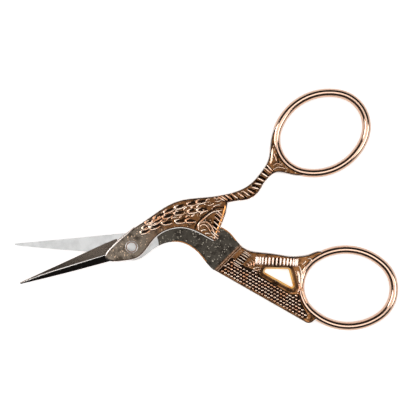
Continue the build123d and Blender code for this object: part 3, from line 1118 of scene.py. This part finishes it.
@dataclass
class BackRelief:
    """Pellets, ribs and scrolls that stand up on the back half.

    Places and lengths are in millimetres along the half's own axes.
    """

    # The pellet field's outline, and its pellets
    field: tuple = (
        (21.04, -5.3),
        (24.18, -2.1),
        (27.39, -4.3),
        (30.0, -5.2),
        (31.3, -6.6),
        (38.22, -10.7),
        (40.29, -10.8),
        (40.98, -12.8),
        (42.57, -15.7),
        (42.2, -16.6),
        (41.27, -16.5),
    )
    pellet_pitch: float = 0.85
    pellet_room: float = 0.25
    pellet_slack: float = 0.001
    pellet_rows: int = 12
    pellet_steps: int = 30
    pellet_stagger: float = math.radians(60)
    pellet_middle: float = 2.45
    pellet: Stud = Stud(width=0.72, flatness=0.5)

    # Ribs across the bar, and strokes by the shoulder
    bar_row: tuple = ((30.16, -2.8), (39.64, -3.15))
    bar_grooves: int = 14
    bar_lean: float = 86.0
    bar_length: float = 1.9
    bar_width: float = 0.46
    bar_profile: Profile = Profile(Finish.RIB, flatness=0.46, taper=0.4)
    stroke_row: tuple = ((27.8, -1.2), (25.19, -3.9))
    stroke_grooves: int = 7
    stroke_lean: float = 101.0
    stroke_length: float = 2.1
    stroke_width: float = 0.44

    # Orange edges of the neck, and the lines along the shoulder
    neck_height: float = 1.16
    neck_edge_width: float = 0.3
    neck_edge_profile: Profile = Profile(Finish.RIM, flatness=0.4, taper=0.3)
    neck_edges: tuple = (
        (
            (16.0, 6.24),
            (18.4, 5.86),
            (20.38, 5.33),
            (22.04, 4.63),
            (23.2, 3.9),
            (24.18, 2.91),
            (25.1, 1.82),
        ),
        (
            (9.6, 1.48),
            (11.04, 1.5),
            (12.35, 1.26),
            (13.72, 0.68),
            (15.24, -0.3),
            (16.47, -1.44),
            (18.0, -3.3),
        ),
    )
    shoulder_lines: tuple = (((20.25, -5.2), (26.1, 0.85)), ((20.75, -5.4), (26.45, 0.45)))
    shoulder_width: float = 0.2
    shoulder_profile: Profile = Profile(Finish.PLATE, taper=0.2)

    # Scrolls, lines at the ring's root, and the dark line round the window
    scroll_width: float = 0.42
    scroll_profile: Profile = Profile(flatness=0.46)
    scrolls: tuple = (
        ((27.6, -3.4), (28.15, -3.8), (28.05, -4.4)),
        ((28.2, -3.0), (28.8, -3.5), (28.7, -4.3)),
        ((28.8, -2.6), (29.4, -3.3), (29.3, -4.3)),
        ((29.3, -4.85), (30.1, -4.45), (31.0, -4.5)),
        ((29.3, -4.95), (30.2, -5.2), (31.1, -4.7)),
        ((42.2, -2.2), (43.0, -2.15), (43.25, -2.7), (42.7, -3.0)),
        ((41.0, -3.7), (41.6, -3.2), (41.9, -2.6)),
    )
    root_width: float = 0.66
    root_profile: Profile = Profile(flatness=0.34)
    root_lines: tuple = (
        ((40.3, -3.9), (40.85, -5.4), (40.95, -7.2), (40.75, -8.8), (40.1, -10.3)),
        ((40.9, -8.9), (41.15, -10.2), (41.6, -11.5), (42.3, -13.0)),
        ((40.05, -5.1), (40.25, -6.8), (40.35, -8.3)),
    )
    window_line_width: float = 0.5
    window_profile: Profile = Profile(Finish.OUTLINE, flatness=0.25, taper=0.0)
    window_line: tuple = (
        (31.15, -5.35),
        (31.75, -4.25),
        (32.6, -3.98),
        (37.7, -3.98),
        (38.65, -4.5),
        (39.75, -8.4),
        (39.45, -9.6),
        (38.3, -9.92),
        (32.0, -6.55),
        (31.35, -6.0),
    )

    def pellets(self) -> list[tuple[float, float, float]]:
        """Staggers pellets in rows along the field's lower edge.

        Returns:
            The pellets' middles.
        """
        first, last = Vector(self.field[0]), Vector(self.field[-1])
        way = (last - first).normalized()
        up = Vector((-way.y, way.x))
        gap = self.pellet_pitch * math.sin(self.pellet_stagger)
        middles = []
        for row in range(self.pellet_rows):
            for step in range(self.pellet_steps):
                along = self.pellet_pitch * (step + (row % 2) / 2)
                spot = first + way * along + up * (row * gap + self.pellet_room)
                if self.has_room(spot):
                    middles.append((spot.x, spot.y, self.pellet_middle))
        return middles

    def has_room(self, spot: Vector) -> bool:
        """Tells whether a pellet fits inside the field.

        Args:
            spot: The pellet's middle.

        Returns:
            Whether it lies inside and clear of the field's sides.
        """
        inside, clear = False, True
        for start, stop in zip(self.field, (*self.field[1:], self.field[0])):
            a, b = Vector(start), Vector(stop)
            crossed = (a.y > spot.y) != (b.y > spot.y)
            if crossed and spot.x < a.x + (b.x - a.x) * (spot.y - a.y) / (b.y - a.y):
                inside = not inside
            share = max(0.0, min(1.0, (spot - a).dot(b - a) / (b - a).length_squared))
            away = (spot - a - (b - a) * share).length
            clear = clear and away >= self.pellet_room - self.pellet_slack
        return inside and clear

    def bars(self, row: tuple, grooves: int, lean: float, length: float, width: float) -> list[Raised]:
        """Puts a rounded bar between each two grooves of a row.

        Args:
            row: The row's points.
            grooves: How many grooves it has.
            lean: The bars' angle from the row, in degrees.
            length: Their length.
            width: Their width.

        Returns:
            The bars.
        """
        shares = [(k + 0.5) / (grooves - 1) for k in range(-1, grooves)]
        bar = Raised(((-length / 2, 0.0), (length / 2, 0.0)), width)
        turn = math.radians(lean)
        return [bar.moved(place, angle + turn) for place, angle in along_row(row, shares)]

    def build(self, carver: Carver) -> None:
        """Builds the relief.

        Args:
            carver: Makes raised lines and studs.
        """
        half = Half.BACK
        ribs = self.bars(self.bar_row, self.bar_grooves, self.bar_lean, self.bar_length, self.bar_width)
        strokes = self.bars(
            self.stroke_row, self.stroke_grooves, self.stroke_lean, self.stroke_length, self.stroke_width
        )
        scrolls = [Raised(line, self.scroll_width) for line in self.scrolls]
        roots = [Raised(line, self.root_width) for line in self.root_lines]
        window = Raised(self.window_line, self.window_line_width, closed=True)
        necks = [Raised(line, self.neck_edge_width, self.neck_height) for line in self.neck_edges]
        shoulders = [Raised(line, self.shoulder_width) for line in self.shoulder_lines]
        carver.set_studs("handle_pellets", half, self.pellets(), self.pellet)
        carver.raise_lines("bar_ribs", half, ribs, self.bar_profile)
        carver.raise_lines("handle_scrolls", half, [*strokes, *scrolls], self.scroll_profile)
        carver.raise_lines("ring_root_lines", half, roots, self.root_profile)
        carver.raise_lines("window_line", half, [window], self.window_profile)
        carver.raise_lines("neck_edge_lines", half, necks, self.neck_edge_profile)
        carver.raise_lines("shoulder_lines", half, shoulders, self.shoulder_profile)


def join_triangles(node: str) -> bmesh.types.BMesh:
    """Copies a node's mesh and joins its loose triangles into clean faces.

    Args:
        node: The node's name.

    Returns:
        The joined copy.
    """
    source = bpy.data.objects[node]
    joined = bmesh.new()
    joined.from_mesh(source.data)
    joined.transform(source.matrix_world)
    bmesh.ops.remove_doubles(joined, verts=joined.verts, dist=MERGE_DISTANCE * MM)
    bmesh.ops.dissolve_limit(
        joined,
        angle_limit=LEVEL_ANGLE,
        verts=joined.verts,
        edges=joined.edges,
        use_dissolve_boundaries=False,
    )
    return joined


def new_piece(name: str, shape: bmesh.types.BMesh, finishes: Sequence[Finish]) -> bpy.types.Object:
    """Makes an object at the origin from a mesh.

    Args:
        name: The piece's name.
        shape: Its mesh, which is used up.
        finishes: Its finishes, in the order of its faces' material numbers.

    Returns:
        The object.
    """
    mesh = bpy.data.meshes.new(name)
    shape.to_mesh(mesh)
    shape.free()
    for finish in finishes:
        mesh.materials.append(finish.material())
    piece = bpy.data.objects.new(name, mesh)
    bpy.context.scene.collection.objects.link(piece)
    return piece


@dataclass
class Forging:
    """One half as it leaves the polisher: plated all over, with its blade and bearing ground bare.

    Attributes:
        half: Which half it is.
        head_end: Place along the half where the bare blade starts.
        heel_end: Place up to which the low faces of the head are bare too.
        heel_drop: How far under the top those faces lie.
        heel_slope: Least upward share of their normals.
        neck_end: Place where the back half's neck, painted dark, ends.
        relief_end: Place where the carving ends.
        relief_depth: Depth of the carving.
        ride_radius: Radius of the bare bearing round the screw.
        field_edge: A point of the line along the pellet field's outer edge.
        field_out: Direction from that line to the outside.
        field_gap: How far past the line the bevels start.
        bevel: Height of the outer bevels.
        outline_height: Height of their upper strip, which is painted with a dark reflection.
        window: Left, right, bottom and top of the handle's window.
        level: How nearly two heights are the same.
        ledge: How far from a bevel's lower edge a height may lie.
        top_slope: Least upward share of the normals of a top.
        flat_slope: The same for a ground flat or for the back neck's dark-painted flat.
        wall_slope: Greatest upward share of the normals of the window's walls.
        bevel_slopes: Least and greatest upward share of the normals of a bevel.
        under_slope: Sideways share past which a blade's face looks down at the edge.
        crease: Angle past which two faces meet in a sharp line.
    """

    half: Half
    head_end: float = -5.2
    heel_end: float = -2.0
    heel_drop: float = 0.25
    heel_slope: float = 0.15
    neck_end: float = 26.5
    relief_end: float = 43.0
    relief_depth: float = 0.34
    ride_radius: float = 6.6
    field_edge: tuple[float, float] = (21.04, -5.3)
    field_out: tuple[float, float] = (-0.485, -0.875)
    field_gap: float = 0.05
    bevel: float = 0.4
    outline_height: float = 0.24
    window: tuple[float, float, float, float] = (30.5, 40.2, -11.2, -4.3)
    level: float = 0.02
    ledge: float = 0.05
    top_slope: float = 0.9
    flat_slope: float = 0.97
    wall_slope: float = 0.6
    bevel_slopes: tuple[float, float] = (0.3, 0.95)
    under_slope: float = -0.1
    crease: float = math.radians(26)

    def blade_finish(self, face: bmesh.types.BMFace, closed: Matrix) -> Finish:
        """Chooses the finish of a face of the bare blade.

        Args:
            face: The face.
            closed: Turns a direction to the half's own axes.

        Returns:
            The finish.
        """
        # The dimmer and near-black steels are painted shade, chosen by which way a face turns
        if self.half is Half.BACK:
            return Finish.STEEL if face.normal.z > self.top_slope else Finish.DARK_STEEL
        under = (closed @ face.normal).y < self.under_slope or face.normal.z < 0
        return Finish.BLACK_STEEL if under else Finish.DARK_STEEL

    def finish_of(self, face: bmesh.types.BMFace, closed: Matrix) -> Finish:
        """Chooses the finish of a face.

        Args:
            face: The face.
            closed: Turns a place to the half's own axes.

        Returns:
            The finish.
        """
        spot = closed @ face.calc_center_median() / MM
        drops = [PLATE_TOP - vertex.co.z / MM for vertex in face.verts]
        near, deep, upward = min(drops), max(drops), face.normal.z
        back = self.half is Half.BACK
        sloping = self.bevel_slopes[0] < upward < self.bevel_slopes[1]
        heel = spot.x < self.heel_end and upward > self.heel_slope and near > self.heel_drop
        if spot.x < self.head_end or heel:
            return self.blade_finish(face, closed)
        # Flat tops take a painted dark reflection
        if deep < self.level and upward > self.top_slope:
            return Finish.FLAT
        # The bevels' upper strip takes a painted dark reflection
        if deep < self.outline_height + self.level and sloping:
            return Finish.OUTLINE
        offset = Vector(spot.xy) - Vector(self.field_edge)
        past_field = offset.x > 0 and offset.dot(Vector(self.field_out)) > self.field_gap
        # Bevels past the pellet field take a painted highlight
        if back and past_field and sloping:
            return Finish.BEVEL
        # Carved hollows, painted darker towards their floor
        if deep < self.relief_depth and spot.x < self.relief_end:
            return Finish.RELIEF
        if back and upward > self.flat_slope and math.hypot(spot.x, spot.y) < self.ride_radius:
            return Finish.STEEL
        # The back neck's flats take a near-black painted reflection
        if back and upward > self.flat_slope and spot.x < self.neck_end:
            return Finish.SMOKED
        left, right, bottom, top = self.window
        in_window = left < spot.x < right and bottom < spot.y < top
        # The window's walls take painted bounce light
        if back and in_window and abs(upward) < self.wall_slope:
            return Finish.GOLD
        # The outer bevels take a painted highlight
        if sloping and near < self.bevel - self.ledge < deep:
            return Finish.BEVEL
        return Finish.PLATE

    def split_bevels(self, shape: bmesh.types.BMesh) -> None:
        """Splits the bevels a little below the top, so that their upper strip can take the painted dark
        reflection.
        """
        cut = Vector((0, 0, (PLATE_TOP - self.outline_height) * MM))
        parts = [*shape.verts, *shape.edges, *shape.faces]
        bmesh.ops.bisect_plane(shape, geom=parts, plane_co=cut, plane_no=Vector((0, 0, 1)))

    def build(self) -> bpy.types.Object:
        """Builds the half's metal body and puts it in its node's place.

        Returns:
            The piece.
        """
        shape = join_triangles(self.half.node)
        closed = Matrix.Rotation(-self.half.turn, 4, "Z")
        self.split_bevels(shape)
        applied = (Finish.CREST, Finish.RIB, Finish.RIM, Finish.BROW, Finish.SCREW)
        finishes = [finish for finish in Finish if finish not in applied]
        for face in shape.faces:
            face.material_index = finishes.index(self.finish_of(face, closed))
            face.smooth = True
        for edge in shape.edges:
            edge.smooth = edge.is_manifold and edge.calc_face_angle(0) < self.crease
        piece = new_piece(f"{self.half.body}_forging", shape, finishes)
        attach(piece, self.half.body)
        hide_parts(self.half.node)
        LOG.info("%s: %d faces", piece.name, len(piece.data.polygons))
        return piece


@dataclass
class PivotScrew:
    """The screw through the bird's eye."""

    node: str = "pivot_screw"

    def build(self) -> None:
        """Dresses the screw's own solid."""
        piece = bpy.data.objects[self.node]
        piece.data.materials.clear()
        piece.data.materials.append(Finish.SCREW.material())
        LOG.info("%s: dressed", piece.name)


@dataclass(frozen=True)
class Lamp:
    """A soft square lamp, with its place and side in millimetres and its power in watts."""

    name: str
    place: tuple[float, float, float]
    side: float
    power: float


@dataclass
class Studio:
    """Floor, light and camera, as for a plain catalogue picture taken from straight above.

    Attributes:
        view_middle: What the camera looks at, in millimetres.
        view_width: Width of the view, in millimetres.
        view_turn: How far the view is turned.
        view_reach: Nearest and furthest distance that the camera shows, in millimetres.
        lens: Focal length, in millimetres.
        sensor: Width of the sensor, in millimetres.
        floor_side: Side of the square floor, in millimetres.
        floor_drop: How far it lies under the scissors, in millimetres.
        paper_colour: The floor's own colour.
        paper_glow: How strongly it glows to the camera.
        paper_shine: How strongly it glows where the metal mirrors it.
        white: Colour of that glow, and of the background to the camera.
        lamps: The lamps at the sides.
        tent_stops: Pairs of an angle from straight up, as a share of half a turn, and the brightness there.
    """

    view_middle: tuple[float, float] = (18.22, 9.63)
    view_width: float = 99.84
    view_turn: float = math.radians(0.83)
    view_reach: tuple[float, float] = (10.0, 10000.0)
    lens: float = 100.0
    sensor: float = 36.0
    floor_side: float = 4000.0
    floor_drop: float = 0.01
    paper_colour: Colour = (0.80, 0.80, 0.80)
    paper_glow: float = 0.7
    paper_shine: float = 0.45
    white: Colour = (1.0, 1.0, 1.0)
    lamps: tuple[Lamp, ...] = (
        Lamp("side_lamp_left", (-420.0, 120.0, 420.0), 300.0, 1.3),
        Lamp("side_lamp_right", (480.0, -60.0, 420.0), 300.0, 1.0),
    )
    tent_stops: tuple[tuple[float, float], ...] = (
        (0.0, 0.2),
        (0.03, 0.25),
        (0.043, 1.9),
        (0.098, 1.9),
        (0.113, 0.03),
        (0.475, 0.03),
        (0.488, 0.85),
        (0.5, 0.85),
    )

    def build(self) -> None:
        """Sets up everything that isn't part of the scissors."""
        self.place_camera()
        self.lay_floor()
        self.hang_lamps()
        self.light_world()
        bpy.context.scene.view_settings.view_transform = "Standard"

    def place_camera(self) -> None:
        """Puts the camera straight above the middle of the view."""
        data = bpy.data.cameras.new("camera")
        data.lens = self.lens
        data.sensor_width = self.sensor
        data.clip_start, data.clip_end = (reach * MM for reach in self.view_reach)
        camera = bpy.data.objects.new("camera", data)
        height = self.view_width * self.lens / self.sensor + PLATE_TOP
        camera.location = Vector((*self.view_middle, height)) * MM
        camera.rotation_euler = (0, 0, self.view_turn)
        bpy.context.scene.collection.objects.link(camera)
        bpy.context.scene.camera = camera

    def lay_floor(self) -> None:
        """Lays a white floor that looks white to the camera and keeps the shadows."""
        shape = bmesh.new()
        side, level = self.floor_side * MM / 2, -self.floor_drop * MM
        corners = ((-side, -side), (side, -side), (side, side), (-side, side))
        shape.faces.new([shape.verts.new((*corner, level)) for corner in corners])
        mesh = bpy.data.meshes.new("floor")
        shape.to_mesh(mesh)
        shape.free()
        material = bpy.data.materials.new("floor_paper")
        material.use_nodes = True
        board = Board(material.node_tree)
        seen = board.make("ShaderNodeLightPath", out="Is Camera Ray")
        mirrored = board.make("ShaderNodeLightPath", out="Is Glossy Ray")
        strength = seen * self.paper_glow + mirrored * self.paper_shine
        paper = board.make("ShaderNodeBsdfDiffuse", {}, {"Color": (*self.paper_colour, 1)})
        glow = board.make("ShaderNodeEmission", {}, {"Color": (*self.white, 1), "Strength": strength})
        both = board.make("ShaderNodeAddShader", {}, {0: paper, 1: glow})
        board.make("ShaderNodeOutputMaterial", {}, {"Surface": both})
        mesh.materials.append(material)
        floor = bpy.data.objects.new("floor", mesh)
        bpy.context.scene.collection.objects.link(floor)

    def hang_lamps(self) -> None:
        """Hangs soft lamps that look at the middle of the scissors."""
        target = Vector((*self.view_middle, 0.0))
        for lamp in self.lamps:
            data = bpy.data.lights.new(lamp.name, "AREA")
            data.energy = lamp.power
            data.size = lamp.side * MM
            hung = bpy.data.objects.new(lamp.name, data)
            hung.location = Vector(lamp.place) * MM
            hung.rotation_euler = (target - Vector(lamp.place)).to_track_quat("-Z", "Y").to_euler()
            bpy.context.scene.collection.objects.link(hung)

    def light_world(self) -> None:
        """Lights everything from a pale tent: dim straight above, bright round that and near the floor."""
        world = bpy.data.worlds.new("tent")
        world.use_nodes = True
        bpy.context.scene.world = world
        board = Board(world.node_tree)
        up = board.axes(board.make("ShaderNodeTexCoord", out="Generated"))[2]
        tilt = board.make("ShaderNodeMath", {"operation": "ARCCOSINE"}, {0: up}) / math.pi
        tent = board.make("ShaderNodeValToRGB", {"stops": self.tent_stops}, {0: tilt})
        seen = board.make("ShaderNodeLightPath", out="Is Camera Ray")
        colour = board.blend(seen, tent, self.white)
        light = board.make("ShaderNodeBackground", {}, {"Color": colour, "Strength": 1.0})
        board.make("ShaderNodeOutputWorld", {}, {"Surface": light})


def main() -> None:
    """Builds the studio and the scissors."""
    logging.basicConfig(level=logging.INFO, format="%(name)s: %(message)s")
    Studio().build()
    carver = Carver()
    for half in Half:
        Forging(half).build()
    FingerRing(half=Half.FRONT, middle=(52.0, 11.61), tilt=10.3).build(carver)
    FingerRing(half=Half.BACK, middle=(52.0, -9.12), tilt=-4.0).build(carver)
    FrontRelief().build(carver)
    BackRelief().build(carver)
    PivotScrew().build()


if __name__ == "__main__":
    main()
